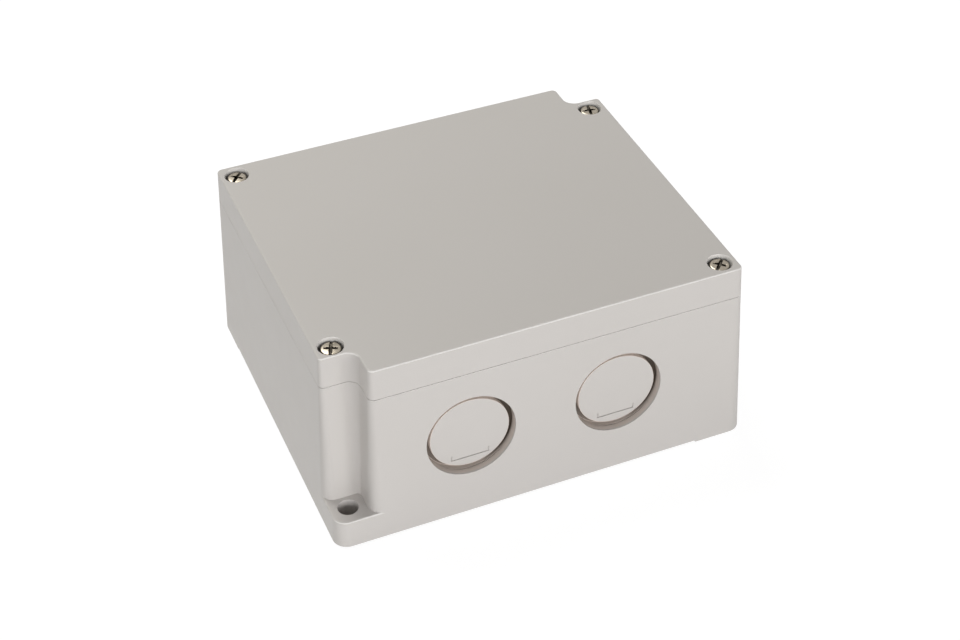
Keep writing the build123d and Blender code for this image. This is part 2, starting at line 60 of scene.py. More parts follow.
# %% [markdown]
# ## The camera
# The picture was taken with a long lens from the front left, about 39 degrees above the table. A
# camera could be moved about by eye until it looks right, but then every small fault of the shapes
# hides in it. So the numbers below come from fitting a camera to the edges and circles of the
# photograph. Each row of the view is a direction: to the right, down, and into the picture. Blender's
# camera looks along its own minus Z with Y up, so two of the rows change sign. The small shift puts
# the lens axis where the fit has it, a little off the middle of the frame.

# %% Camera
FRAME_WIDTH, FRAME_HEIGHT = 960, 640
FOCAL_PX = 1890.1
AXIS_PX = (500.0, 285.0)
CAMERA_PLACE = (-0.24620, -0.62185, 0.58516)
LOOK_RIGHT = (0.920192, -0.391389, -0.007819)
LOOK_DOWN = (-0.249726, -0.571515, -0.78167)
LOOK_INTO = (0.301468, 0.721239, -0.623644)
SENSOR_WIDTH_MM = 36.0
NEAREST, FARTHEST = 0.01, 20.0


def make_camera():
    """The lens is to the sensor as the focal length is to the frame's width, both in pixels. The three
    fitted directions are the columns of the camera's turn."""
    data = bpy.data.cameras.new("camera")
    data.sensor_width = SENSOR_WIDTH_MM
    data.lens = FOCAL_PX * SENSOR_WIDTH_MM / FRAME_WIDTH
    data.shift_x = (FRAME_WIDTH / 2 - AXIS_PX[0]) / FRAME_WIDTH
    data.shift_y = (AXIS_PX[1] - FRAME_HEIGHT / 2) / FRAME_WIDTH
    data.clip_start, data.clip_end = NEAREST, FARTHEST
    camera = bpy.data.objects.new("camera", data)
    turn = Matrix((LOOK_RIGHT, [-v for v in LOOK_DOWN], [-v for v in LOOK_INTO])).transposed()
    camera.matrix_world = Matrix.Translation(CAMERA_PLACE) @ turn.to_4x4()
    bpy.context.scene.collection.objects.link(camera)
    bpy.context.scene.camera = camera
    return data


lens = make_camera()
print("lens %.1f mm, shift %.3f %.3f" % (lens.lens, lens.shift_x, lens.shift_y))


# %% [markdown]
# ## Adding nodes
# Every finish in this lesson, and part of the light, is a small network of shader nodes. Each node
# could be set up in three or four lines of its own. One function does for all of them: it adds a node
# of any kind, sets its options, and fills or links its sockets. The sums that a Math node can do are
# its options, so the few that are used here get short names.

# %% One function for every node
PLUS, MINUS, TIMES = {"operation": "ADD"}, {"operation": "SUBTRACT"}, {"operation": "MULTIPLY"}
ROOT, UNSIGNED, SIGN = {"operation": "SQRT"}, {"operation": "ABSOLUTE"}, {"operation": "SIGN"}
LARGER = {"operation": "MAXIMUM"}
COLOURS = {"data_type": "RGBA"}
WHITE = (1, 1, 1, 1)


def add(tree, kind, options=None, *values, **named):
    """Adds one shader node and sets its options. Values in order fill its sockets in order, a name
    finds the socket of that name, and i6 finds the seventh. A node is linked by its first output."""
    item = tree.nodes.new("ShaderNode" + kind)
    for option, value in (options or {}).items():
        setattr(item, option, value)
    places = dict(enumerate(values))
    for key, value in named.items():
        numbered = key[0] == "i" and key[1:].isdigit()
        places[int(key[1:]) if numbered else key.replace("_", " ")] = value
    for place, value in places.items():
        if isinstance(value, bpy.types.Node):
            value = value.outputs[0]
        if isinstance(value, bpy.types.NodeSocket):
            tree.links.new(value, item.inputs[place])
        else:
            item.inputs[place].default_value = value
    return item


def new_material(name):
    """An empty material and the tree that its nodes go into."""
    material = bpy.data.materials.new(name)
    material.use_nodes = True
    material.node_tree.nodes.clear()
    return material, material.node_tree


print("one function adds every node")


# %% [markdown]
# ## The world
# The photograph is a cut-out on pure white. More light would make the background white, but it would
# bleach the pale box as well. So the world is white only for rays that come straight from the camera,
# through glass or off a mirror, and lights the object with an even, much weaker glow.

# %% World
WORLD_LEVEL = 0.14


def seen_or_mirrored(tree):
    """1 for what is seen straight, in a reflection or through glass, and 0 for soft light."""
    rays = add(tree, "LightPath").outputs
    seen = add(tree, "Math", LARGER, rays["Is Camera Ray"], rays["Is Transmission Ray"])
    return add(tree, "Math", LARGER, seen, rays["Is Glossy Ray"])


def make_world():
    """Mixes the weak glow with white by seen_or_mirrored."""
    world = bpy.data.worlds.new("studio")
    world.use_nodes = True
    tree = world.node_tree
    tree.nodes.clear()
    plain = add(tree, "Background", Color=WHITE, Strength=WORLD_LEVEL)
    white = add(tree, "Background", Color=WHITE, Strength=1.0)
    mix = add(tree, "MixShader", None, seen_or_mirrored(tree), plain, white)
    add(tree, "OutputWorld", None, mix)
    bpy.context.scene.world = world


make_world()
bpy.context.scene.view_settings.view_transform = "Standard"
print("world level", WORLD_LEVEL)


# %% [markdown]
# ## The lamps
# The front wall is the brightest face of the photograph, then the left wall, then the lid, and the
# walls at the lower right of the round recesses are dark. That gives the places of the lamps: two low
# at the front, one each side, and one high up behind the box, which lights the lid and grazes the
# left wall. Each could be tried by hand. Here each lamp was rendered alone, and the powers are the
# ones whose sum comes nearest to the photograph.

# %% Lamps
LAMP_DISK = 0.9  # metres across
LAMP_AIM = Vector((0, 0, 0.04))
LAMPS = {  # place in metres, power in watts, tint
    "key lamp, low on the right": ((0.55, -1.70, 0.45), 10.7, (1.0, 1.0, 1.0)),
    "key lamp, low on the left": ((-0.80, -1.60, 0.50), 12.7, (1.0, 1.0, 1.0)),
    "top lamp": ((-0.27, 0.80, 1.30), 13.6, (1.0, 0.99, 0.94)),
}


def make_lamp(name, place, power, tint):
    """A round lamp that looks at the middle of the box."""
    data = bpy.data.lights.new(name, "AREA")
    data.shape, data.size, data.energy, data.color = "DISK", LAMP_DISK, power, tint
    lamp = bpy.data.objects.new(name, data)
    lamp.location = place
    lamp.rotation_euler = (LAMP_AIM - Vector(place)).to_track_quat("-Z", "Y").to_euler()
    bpy.context.scene.collection.objects.link(lamp)


for lamp_name, settings in LAMPS.items():
    make_lamp(lamp_name, *settings)
print(len(LAMPS), "lamps")


# %% [markdown]
# ## The floor
# The box stands on a floor, which has to stay white and still carry the box's shadow. A plain white
# floor would be grey at its far end. A glowing one would have no shadow. So four fifths of what the
# camera sees of it is an even glow, and the last fifth is a matt surface that the lamps light.

# %% Floor
FLOOR_HALF = 4.0
FLOOR_WHITE = 0.85
FLOOR_GLOW_SHARE = 0.80
FLOOR_GLOW = 1.15


def make_floor():
    """One square, whose glow shows by FLOOR_GLOW_SHARE to the camera and not at all to soft light."""
    mesh = bpy.data.meshes.new("floor")
    corners = [(x * FLOOR_HALF, y * FLOOR_HALF, 0) for x, y in ((-1, -1), (1, -1), (1, 1), (-1, 1))]
    mesh.from_pydata(corners, [], [(0, 1, 2, 3)])
    floor = bpy.data.objects.new("floor", mesh)
    bpy.context.scene.collection.objects.link(floor)
    material, tree = new_material("studio floor")
    matt = add(tree, "BsdfDiffuse", Color=(FLOOR_WHITE, FLOOR_WHITE, FLOOR_WHITE, 1))
    glow = add(tree, "Emission", Color=WHITE, Strength=FLOOR_GLOW)
    share = add(tree, "Math", TIMES, seen_or_mirrored(tree), FLOOR_GLOW_SHARE)
    mix = add(tree, "MixShader", None, share, matt, glow)
    add(tree, "OutputMaterial", None, mix)
    mesh.materials.append(material)


make_floor()
print("floor %.0f m wide" % (2 * FLOOR_HALF))


# %% [markdown]
# ## Colours and coordinates
# Colours are written as on a colour card, in sRGB, and turned into the linear values that light works
# with by one function. Patterns use Object coordinates, which are metres here, so the scale of a
# pattern is one over its real feature size. Every finish here ends the same way, with a small bump and
# the one shader that covers plastic, metal and rubber, so one function does that for all of them.

# %% Helpers for materials
def linear(card):
    """Turns an sRGB hex colour into linear RGB with alpha, channel by channel."""
    values = [int(card[i:i + 2], 16) / 255 for i in (1, 3, 5)]
    curve = [v / 12.92 if v <= 0.04045 else ((v + 0.055) / 1.055) ** 2.4 for v in values]
    return (*curve, 1.0)


def per_metre(size_mm):
    """Texture scale of a pattern whose features are size_mm apart."""
    return 1.0 / (size_mm * MM)


def finish_material(tree, colour, shine, height, depth_mm, strength, **more):
    """Ends a material: bump of a real depth, shader, output. Other sockets of the shader go in more."""
    bump = add(tree, "Bump", Strength=strength, Distance=depth_mm * MM, Height=height)
    shader = add(tree, "BsdfPrincipled", Base_Color=colour, Roughness=shine, Normal=bump, **more)
    add(tree, "OutputMaterial", None, shader)


def dress(material, *names):
    """Gives every slot of the named solids the material."""
    for name in names:
        solid = nodes[name]
        if not solid.material_slots:
            solid.data.materials.append(material)
        for slot in solid.material_slots:
            slot.material = material


print("mid grey on the card is", round(linear("#808080")[0], 3), "in linear light")


# %% [markdown]
# ## Masks, and dust as the first of them
# The housing is one colour of plastic with four small layers over it. Each layer needs a mask: a value
# that is 1 where the layer shows. Masks could be painted, but then they would be pictures. Worked out
# from the place or the direction of the surface they need no picture and stay sharp from any distance.
# Dust is the simplest. A cell pattern has one point in each cell, and where the surface passes within
# a fifth of a millimetre of that point, a dark speck lies on it.

# %% Dust
DUST_MM, DUST_CELL_MM = 0.2, 15.0
DUST_CORE, DUST_STRENGTH = 0.6, 0.65


def all_of(tree, *masks):
    """Product of masks, which is 1 only where each of them is 1."""
    result = masks[0]
    for mask in masks[1:]:
        result = add(tree, "Math", TIMES, result, mask)
    return result


def dust_mask(tree, place):
    """Falls from full strength to 0 as the distance to the cell's point grows to DUST_MM."""
    cells = add(tree, "TexVoronoi", Vector=place, Scale=per_metre(DUST_CELL_MM))
    reach = DUST_MM / DUST_CELL_MM
    return add(tree, "MapRange", None, cells.outputs["Distance"], DUST_CORE * reach, reach,
               DUST_STRENGTH, 0.0)


print("specks up to", 2 * DUST_MM, "mm wide, about", DUST_CELL_MM, "mm apart")


# %% [markdown]
# ## Rounded front edges
# The rounded front edges are painted paler, a painted highlight where the lamps in front catch
# them, and are made a little smoother. They are where the surface faces up and to the front at once,
# which neither the lid nor a wall does. So this mask reads the direction of the surface, and needs no
# list of edges.

# %% Mask of the front edges
EDGE_LEAVES_WALL = (0.2, 0.45)
EDGE_REACHES_LID = (0.75, 0.92)
EDGE_FACES_FRONT = (-0.15, -0.45)


def edge_highlight_mask(tree):
    """Product of three ramps over the surface's direction: tilted up from a wall, not yet as flat as
    the lid, and turned to the front. Where it is 1, a highlight is painted and the shine is smoother."""
    _, back, upward = add(tree, "SeparateXYZ", None, add(tree, "NewGeometry").outputs["Normal"]).outputs
    off_wall = add(tree, "MapRange", None, upward, *EDGE_LEAVES_WALL)
    off_lid = add(tree, "MapRange", None, upward, *EDGE_REACHES_LID, 1.0, 0.0)
    return all_of(tree, off_wall, off_lid, add(tree, "MapRange", None, back, *EDGE_FACES_FRONT))


print("edges are where the surface's up value lies between", EDGE_LEAVES_WALL[0], "and",
      EDGE_REACHES_LID[1])


# %% [markdown]
# ## Screw holes in the lid
# The walls of the four round holes that the screws sit in are painted nearly white: a painted
# highlight where the lamps in front catch them. Their mask is a ring: the distance to the hole's axis
# lies near the hole's radius. Half a turn of the box brings each hole of a pair onto the other, so a
# pair needs one distance, and the sign of x times y tells the pairs apart.

# %% Mask of the screw holes
BORE_RADIUS_MM = 5.5
BORE_INSIDE_MM, BORE_OUTSIDE_MM, BORE_SOFT_MM = 0.1, 0.05, 0.1
BORE_TOP_MM, BORE_SEAM_MM = (0.1, 0.5), 0.5
BORE_PAIRS = (("lid_screw_front_left", 1), ("lid_screw_front_right", -1))


def ring_mask(tree, reach, inner, outer, soft):
    """1 where the distance to an axis lies between two radii."""
    return all_of(tree, add(tree, "MapRange", None, reach, inner - soft, inner),
                  add(tree, "MapRange", None, reach, outer, outer + soft, 1.0, 0.0))


def distance(tree, off_a, off_b):
    """Root of the sum of the squares of the two offsets from an axis."""
    squares = [add(tree, "Math", TIMES, off, off) for off in (off_a, off_b)]
    return add(tree, "Math", ROOT, add(tree, "Math", PLUS, *squares))


# The ring marks where the hole walls get their painted highlight.
def bore_highlight_mask(tree, place):
    """Ring round each hole's axis, kept between the seam and the top of the lid."""
    x, y, z = add(tree, "SeparateXYZ", None, place).outputs
    quarter = add(tree, "Math", TIMES, x, y)
    bores = 0.0
    for name, sign in BORE_PAIRS:
        middle = [abs(low + high) / 2 for low, high in zip(*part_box(name))]
        offs = [add(tree, "Math", MINUS, add(tree, "Math", UNSIGNED, value), centre)
                for value, centre in zip((x, y), middle)]
        wall = ring_mask(tree, distance(tree, *offs), (BORE_RADIUS_MM - BORE_INSIDE_MM) * MM,
                         (BORE_RADIUS_MM + BORE_OUTSIDE_MM) * MM, BORE_SOFT_MM * MM)
        pair = add(tree, "MapRange", None, quarter, 0.0, sign * MM * MM)
        bores = add(tree, "Math", LARGER, bores, all_of(tree, wall, pair))
    bottom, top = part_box("lid")[0][2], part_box("lid")[1][2]
    under_top = add(tree, "MapRange", None, z, *[top - depth * MM for depth in BORE_TOP_MM])
    over_seam = add(tree, "MapRange", None, z, bottom, bottom + BORE_SEAM_MM * MM)
    return all_of(tree, bores, all_of(tree, under_top, over_seam))


print(2 * len(BORE_PAIRS), "holes of radius", BORE_RADIUS_MM, "mm")


# %% [markdown]
# ## Grooves round the discs
# Each cable entry is closed by a disc that can be knocked out, with a groove round it. The groove's
# sides are painted a warm, pale grey, painted light that brightens the groove, and its floor is
# painted dark, a painted shade that also climbs the side at the right. Both masks are rings again, now
# round an axis that runs from front to back. The wall leans, so the depth is measured from the
# leaning face and not from a fixed plane.

# %% Masks of the grooves
entries = [m for m in frame["record"]["mounts"] if m["name"].startswith("gland_entry")]
GROOVE_WIDTH_MM, GROOVE_SOFT_MM = 2.4, 0.2
FLOOR_STOPS_MM = (0.3, 0.1)
# Depths below the wall where painted light starts on the sides, where painted shade starts on the
# floor, and where painted shade starts low on the sides.
SIDES_START_MM = (0.4, 1.2)
FLOOR_START_MM = (4.9, 5.1)
SHADE_START_MM = (3.3, 4.7)
SHADE_TURNS_RIGHT = (0.25, 0.75)
FLOOR_SHADE_LEFT = 0.75


def groove_masks(tree, place):
    """Two masks, each a ring of distance to an axis times a depth below the leaning wall. The first,
    for painted shade, is 1 on the floor and, on the right, low on the sides. The second, for painted
    light, is 1 on both sides."""
    across, deep, level = entries[0]["pos_m"]
    radius = entries[0]["dims"]["r_mm"] * MM
    lid_box, base_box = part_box("lid"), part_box("base_housing")
    lean = (base_box[1][1] - lid_box[1][1]) / lid_box[0][2]
    x, y, z = add(tree, "SeparateXYZ", None, place).outputs
    off_x = add(tree, "Math", MINUS, add(tree, "Math", UNSIGNED, x), abs(across))
    off_z = add(tree, "Math", MINUS, z, level)
    reach = distance(tree, off_x, off_z)
    face = add(tree, "Math", MINUS, abs(deep), add(tree, "Math", TIMES, off_z, lean))
    below = add(tree, "Math", MINUS, face, add(tree, "Math", UNSIGNED, y))
    ring = ring_mask(tree, reach, radius - GROOVE_WIDTH_MM * MM, radius + GROOVE_SOFT_MM * MM,
                     GROOVE_SOFT_MM * MM)
    off_side = add(tree, "MapRange", None, reach, *[radius - gap * MM for gap in FLOOR_STOPS_MM],
                   1.0, 0.0)
    sides, floor, shade_amount = [
        all_of(tree, ring, add(tree, "MapRange", None, below, start * MM, end * MM))
        for start, end in (SIDES_START_MM, FLOOR_START_MM, SHADE_START_MM)]
    # The painted shade is full on the right and weaker on the left.
    rightward = add(tree, "Math", TIMES, off_x, add(tree, "Math", SIGN, x))
    right = add(tree, "MapRange", None, rightward, *[share * radius for share in SHADE_TURNS_RIGHT])
    strength = add(tree, "MapRange", Value=right, To_Min=FLOOR_SHADE_LEFT)
    dark = all_of(tree, floor, off_side, strength)
    return add(tree, "Math", LARGER, dark, all_of(tree, shade_amount, right)), sides


print(len(entries), "cable entries of radius", entries[0]["dims"]["r_mm"], "mm")


# %% [markdown]
# ## Moulded plastic
# The box is moulded polycarbonate, a pale grey plastic with a spark-eroded grain that keeps it from
# shining. That grain is far finer than a pixel, so the bump here is drawn a quarter of a millimetre
# wide, as coarse as it needs to show at all. A cloudy pattern as large as a hand shifts the colour by a
# hair, as flow in the mould does, and a smaller one makes the shine uneven. A single colour would do
# for the terminals inside, but the same function gives them the same finish in their own greys. The
# housing's grain also dulls its mirror image, so it has half the usual reflection.

# %% Plastic with its grain
CLOUD_MM, CLOUD_DETAIL = 70.0, 3.0
SHINE_MM, SHINE_VARIES = 9.0, 0.05
GRAIN_MM, GRAIN_DEPTH_MM, GRAIN_STRENGTH = 0.28, 0.012, 0.5
USUAL_MIRROR, HOUSING_MIRROR = 0.5, 0.25
# The colour of the painted highlight on the front edges, and how much smoother those edges are.
EDGE_HIGHLIGHT_CARD, EDGE_POLISH = "#EDEAE7", 0.06
# A painted highlight in the screw holes, painted light on the groove sides, painted shade on the groove
# floor and low on its right side, and dust.
BORE_HIGHLIGHT_CARD, SIDES_LIGHT_CARD, FLOOR_SHADE_CARD, DUST_CARD = "#F6F3EF", "#DED3CB", "#5A5047", "#6A6258"


def housing_layers(tree, place, colour, shine):
    """Lays the housing's masks over its plain colour, one after the other."""
    edge = edge_highlight_mask(tree)
    floor, sides = groove_masks(tree, place)
    # Painted highlights on the front edges and in the screw holes, painted light on the groove sides,
    # painted shade on the groove floor, and dust.
    layers = ((edge, EDGE_HIGHLIGHT_CARD), (bore_highlight_mask(tree, place), BORE_HIGHLIGHT_CARD), (sides, SIDES_LIGHT_CARD),
              (floor, FLOOR_SHADE_CARD), (dust_mask(tree, place), DUST_CARD))
    for mask, card in layers:
        colour = add(tree, "Mix", COLOURS, mask, i6=colour, i7=linear(card)).outputs[2]
    return colour, add(tree, "Math", MINUS, shine, add(tree, "Math", TIMES, edge, EDGE_POLISH))


def moulded_plastic(name, card, deep_card, roughness, mirror=USUAL_MIRROR, layers=None):
    """Clouded colour and uneven shine, with what the layers function lays over them, and a grain."""
    material, tree = new_material(name)
    place = add(tree, "TexCoord").outputs["Object"]
    cloud = add(tree, "TexNoise", Vector=place, Scale=per_metre(CLOUD_MM), Detail=CLOUD_DETAIL)
    colour = add(tree, "Mix", COLOURS, cloud, i6=linear(card), i7=linear(deep_card)).outputs[2]
    patches = add(tree, "TexNoise", Vector=place, Scale=per_metre(SHINE_MM))
    shine = add(tree, "MapRange", Value=patches, To_Min=roughness - SHINE_VARIES,
                To_Max=roughness + SHINE_VARIES)
    if layers:
        colour, shine = layers(tree, place, colour, shine)
    grain = add(tree, "TexNoise", Vector=place, Scale=per_metre(GRAIN_MM))
    finish_material(tree, colour, shine, grain, GRAIN_DEPTH_MM, GRAIN_STRENGTH,
                    Specular_IOR_Level=mirror)
    return material


housing = moulded_plastic("moulded polycarbonate, light grey", "#CFCBC8", "#CCC8C4", 0.40,
                          HOUSING_MIRROR, housing_layers)
terminal_grey = moulded_plastic("moulded polyamide, grey", "#A9ABAC", "#A3A5A7", 0.42)
bracket_grey = moulded_plastic("moulded polyamide, dark grey", "#5B5D60", "#55575A", 0.45)
terminals = ["terminal_%d" % (i + 1) for i in range(5)] + ["earth_terminal"]
dress(housing, "base_housing", "lid")
dress(terminal_grey, "end_plate", *[t + "_housing" for t in terminals[:-1]])
dress(bracket_grey, "end_bracket_left", "end_bracket_right")
print("plastics:", housing.name, "/", terminal_grey.name, "/", bracket_grey.name)


# %% [markdown]
# ## Green and yellow
# The protective-earth terminal is green with a yellow stripe at each side, the colours that mark an
# earth everywhere. It could be cut into three pieces, but the real one is one moulding. So the stripes
# are a mask, from the distance to the middle of the terminal's thickness.

# %% Earth terminal
GREEN, YELLOW = "#3F8A3A", "#E3C52E"
STRIPE_STARTS, STRIPE_FULL = 0.60, 0.63
EARTH_GRAIN_MM, EARTH_GRAIN_DEPTH_MM = 0.3, 0.01
EARTH_SHINE_MM, EARTH_ROUGHNESS = 6.0, (0.38, 0.46)


def earth_plastic():
    """Green where the distance to the middle is small, yellow from STRIPE_FULL of the half outwards."""
    low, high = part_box("earth_terminal_housing")
    middle, half = (low[0] + high[0]) / 2, (high[0] - low[0]) / 2
    material, tree = new_material("moulded polyamide, green and yellow")
    place = add(tree, "TexCoord").outputs["Object"]
    across = add(tree, "SeparateXYZ", None, place).outputs[0]
    reach = add(tree, "Math", UNSIGNED, add(tree, "Math", MINUS, across, middle))
    stripe = add(tree, "MapRange", None, reach, half * STRIPE_STARTS, half * STRIPE_FULL)
    colour = add(tree, "Mix", COLOURS, stripe, i6=linear(GREEN), i7=linear(YELLOW)).outputs[2]
    grain = add(tree, "TexNoise", Vector=place, Scale=per_metre(EARTH_GRAIN_MM))
    patches = add(tree, "TexNoise", Vector=place, Scale=per_metre(EARTH_SHINE_MM))
    shine = add(tree, "MapRange", Value=patches, To_Min=EARTH_ROUGHNESS[0], To_Max=EARTH_ROUGHNESS[1])
    finish_material(tree, colour, shine, grain, EARTH_GRAIN_DEPTH_MM, GRAIN_STRENGTH)
    return material


dress(earth_plastic(), "earth_terminal_housing")
print("earth terminal: green and yellow")


# %% [markdown]
# ## Metals
# Plated steel is never perfectly even: the plating carries the fine lines of the drawing or stamping
# under it. A picture of such lines would have to be unwrapped onto each piece. A noise that is
# stretched along the rolling direction needs no unwrapping, and drives the roughness and a very small
# bump. The same function makes zinc, nickel, brass and copper; only the colour, the roughness and the
# direction of the lines differ. On the lid screws a value kept in the mesh says where shade is
# painted, in the drive and low on the side of the head. The metal is painted nearly black there, a
# painted shade, in patches a millimetre wide.

# %% Metals
# A large factor squeezes the pattern that way, so the lines run along the axis whose factor is small.
LINE_STRETCH, LINE_DETAIL = 12.0, 3.0
ALONG_X, ALONG_Y = (1.0, LINE_STRETCH, LINE_STRETCH), (LINE_STRETCH, 1.0, LINE_STRETCH)
ALONG_Z, EVERY_WAY = (8.0, 8.0, 1.0), (6.0, 6.0, 6.0)
SMOOTHER, ROUGHER = 0.07, 0.09
LINE_STRENGTH = 0.6
# Painted shade on the lid screws: its near-black colour, and the size and levels of its patches.
DRIVE_SHADE_CARD, SHADE_PATCH_MM = "#1C1914", 0.9
SHADE_PATCH_RANGE, SHADE_PATCH_LEVELS = (0.38, 0.58), (0.6, 1.0)


def rolled_metal(name, card, deep_card, roughness, stretch=ALONG_X, line_mm=1.2, depth_mm=0.006,
                 cloud_mm=11.0, shade_name=None):
    """Lines are noise over stretched coordinates. The last argument names the mesh value that says
    where shade is painted.
    """
    material, tree = new_material(name)
    place = add(tree, "TexCoord").outputs["Object"]
    stretched = add(tree, "Mapping", Vector=place, Scale=stretch)
    lines = add(tree, "TexNoise", Vector=stretched, Scale=per_metre(line_mm * LINE_STRETCH),
                Detail=LINE_DETAIL)
    cloud = add(tree, "TexNoise", Vector=place, Scale=per_metre(cloud_mm))
    colour = add(tree, "Mix", COLOURS, cloud, i6=linear(card), i7=linear(deep_card)).outputs[2]
    shine = add(tree, "MapRange", Value=lines, To_Min=roughness - SMOOTHER, To_Max=roughness + ROUGHER)
    if shade_name:
        shade_value = add(tree, "Attribute", {"attribute_name": shade_name}).outputs["Fac"]
        patches = add(tree, "TexNoise", Vector=place, Scale=per_metre(SHADE_PATCH_MM))
        patchy = add(tree, "MapRange", None, patches, *SHADE_PATCH_RANGE, *SHADE_PATCH_LEVELS)
        darkened = all_of(tree, shade_value, patchy)
        colour = add(tree, "Mix", COLOURS, darkened, i6=colour, i7=linear(DRIVE_SHADE_CARD)).outputs[2]
    finish_material(tree, colour, shine, lines, depth_mm, LINE_STRENGTH, Metallic=1.0)
    return material


nickel = rolled_metal("nickel-plated steel", "#B5AC9D", "#7C7468", 0.24, EVERY_WAY, 0.5, 0.01, 2.4,
                      "painted_shade")
zinc = rolled_metal("zinc-plated steel", "#C9CCCE", "#BDC1C5", 0.36)
zinc_screw = rolled_metal("zinc-plated screw steel", "#D3D5D6", "#C5C8CB", 0.30, EVERY_WAY, 0.5)
brass = rolled_metal("turned brass", "#D9B56A", "#CBA458", 0.30, ALONG_Z, 0.6)
copper = rolled_metal("rolled copper", "#D9936F", "#C98360", 0.30, ALONG_Y)
dress(zinc, "mounting_rail", *[t + "_clamp_cage_" + p for t in terminals for p in ("front", "back")])
dress(zinc_screw, "rail_screws",
      *[t + "_clamp_screw_" + p for t in terminals for p in ("front", "back")])
dress(brass, "threaded_inserts")
dress(copper, *[t + "_current_bar" for t in terminals])
print("metals:", nickel.name, zinc.name, zinc_screw.name, brass.name, copper.name)


# %% [markdown]
# ## Rubber
# The seal in the lid and the washers under the screw heads are black rubber. The seal is foamed, so
# its surface has small open pores; the washers are dense and only a little matt. The pores could be
# modelled, but a cell pattern that sinks each cell's middle and darkens it, a painted shade in the
# pore, looks the same at this size.

# %% Rubber
# The near-black colour at each cell's middle is painted shade in the pore.
PORE_SHADE_CARD = "#0C0C0C"
PORE_EDGE, PORE_LEVELS = 0.5, (0.35, 1.0)
PORE_SINKS, PORE_STRENGTH = 0.2, 0.8
RUBBER_SHINE_MM, RUBBER_VARIES = 5.0, 0.05


def foam_rubber(name, card, pore_mm, roughness):
    """Dark and sunk near each cell's point, by the distance to it."""
    material, tree = new_material(name)
    place = add(tree, "TexCoord").outputs["Object"]
    pores = add(tree, "TexVoronoi", Vector=place, Scale=per_metre(pore_mm))
    shade = add(tree, "MapRange", None, pores.outputs["Distance"], 0.0, PORE_EDGE, *PORE_LEVELS)
    colour = add(tree, "Mix", COLOURS, shade, i6=linear(PORE_SHADE_CARD), i7=linear(card)).outputs[2]
    patches = add(tree, "TexNoise", Vector=place, Scale=per_metre(RUBBER_SHINE_MM))
    shine = add(tree, "MapRange", Value=patches, To_Min=roughness - RUBBER_VARIES,
                To_Max=roughness + RUBBER_VARIES)
    finish_material(tree, colour, shine, shade, pore_mm * PORE_SINKS, PORE_STRENGTH)
    return material


corners = ("front_left", "front_right", "back_right", "back_left")
dress(foam_rubber("foamed rubber seal", "#3A3A3B", 0.7, 0.8), "lid_gasket")
dress(foam_rubber("dense black rubber", "#232323", 0.2, 0.55), *["screw_washer_" + c for c in corners])
print("rubber seal and", len(corners), "washers")


# %% [markdown]
# ## Grids that close
# A screw head is where the eye goes, so the four lid screws are remade as fine surfaces. They could be
# cut out of cylinders, but the cuts would leave hard edges that catch no light. Here each surface is a
# grid of points in two directions, ring after ring, worked out as whole arrays. This cell turns such a
# grid into a closed shell, with one point at each end.

# %% Closed grids
def soft_step(value, low, high):
    """Rises smoothly from 0 to 1 between low and high: 3 t squared minus 2 t cubed."""
    t = np.clip((value - low) / (high - low), 0.0, 1.0)
    return t * t * (3 - 2 * t)


def closed_grid(rings, first_pole, last_pole):
    """Vertices and faces of rings of points, closed round each ring and by a pole at both ends."""
    count, around = rings.shape[:2]
    points = np.vstack([rings.reshape(-1, 3), first_pole, last_pole])
    i = np.arange(count - 1)[:, None] * around
    j = np.arange(around)[None, :]
    k = (j + 1) % around
    quads = np.stack([i + j, i + around + j, i + around + k, i + k], axis=-1).reshape(-1, 4)
    first, last = count * around, count * around + 1
    base = (count - 1) * around
    top = [(first, int(a), int(b)) for a, b in zip(j[0], k[0])]
    end = [(last, base + int(b), base + int(a)) for a, b in zip(j[0], k[0])]
    return points, quads.tolist() + top + end


print("a smooth step has risen to", soft_step(0.25, 0, 1), "a quarter of the way")


# %% [markdown]
# ## The head of a lid screw
# It is a pan head with a slot right across and a cross in the middle, so two kinds of driver fit. The
# head is a grid in radius and angle. Its height is a shallow dome, from which the drive is subtracted:
# the larger of two depths, the slot's, and that of a cross whose wings get shallower outwards.

# %% Screw head
HEAD_RADIUS, HEAD_HEIGHT = 4.7, 3.2
SHANK_RADIUS = 2.5
EDGE_ROUND, EDGE_STEPS, EDGE_LIP = 1.3, 8, 0.1
DOME = 0.35
SLOT_HALF, SLOT_DEPTH, SLOT_SOFT = 0.6, 1.1, 0.08
WING_HALF, WING_REACH, WING_DEPTH, WING_SOFT = 0.7, 3.2, 2.4, 0.1
SOLID_UNDERSIDE = 1.2
HEAD_ROWS, HEAD_COLUMNS, FIRST_RING = 64, 192, 0.02
# Where the painted shade starts and where it is full, in the drive and down the side of the head.
SHADE_IN_DRIVE, SHADE_ON_SIDE = (0.15, 0.9), (0.28, 0.52)


def drive_depth(x, y):
    """Depth of the slot and the cross below the head's dome, whichever is larger."""
    depth = SLOT_DEPTH * (1 - soft_step(np.abs(y), SLOT_HALF - SLOT_SOFT, SLOT_HALF + SLOT_SOFT))
    for along, across in ((np.abs(x), np.abs(y)), (np.abs(y), np.abs(x))):
        slope = np.clip((WING_REACH - along) / (WING_REACH - WING_HALF), 0.0, 1.0)
        wing = 1 - soft_step(across, WING_HALF - WING_SOFT, WING_HALF + WING_SOFT)
        depth = np.maximum(depth, WING_DEPTH * slope * wing)
    return depth


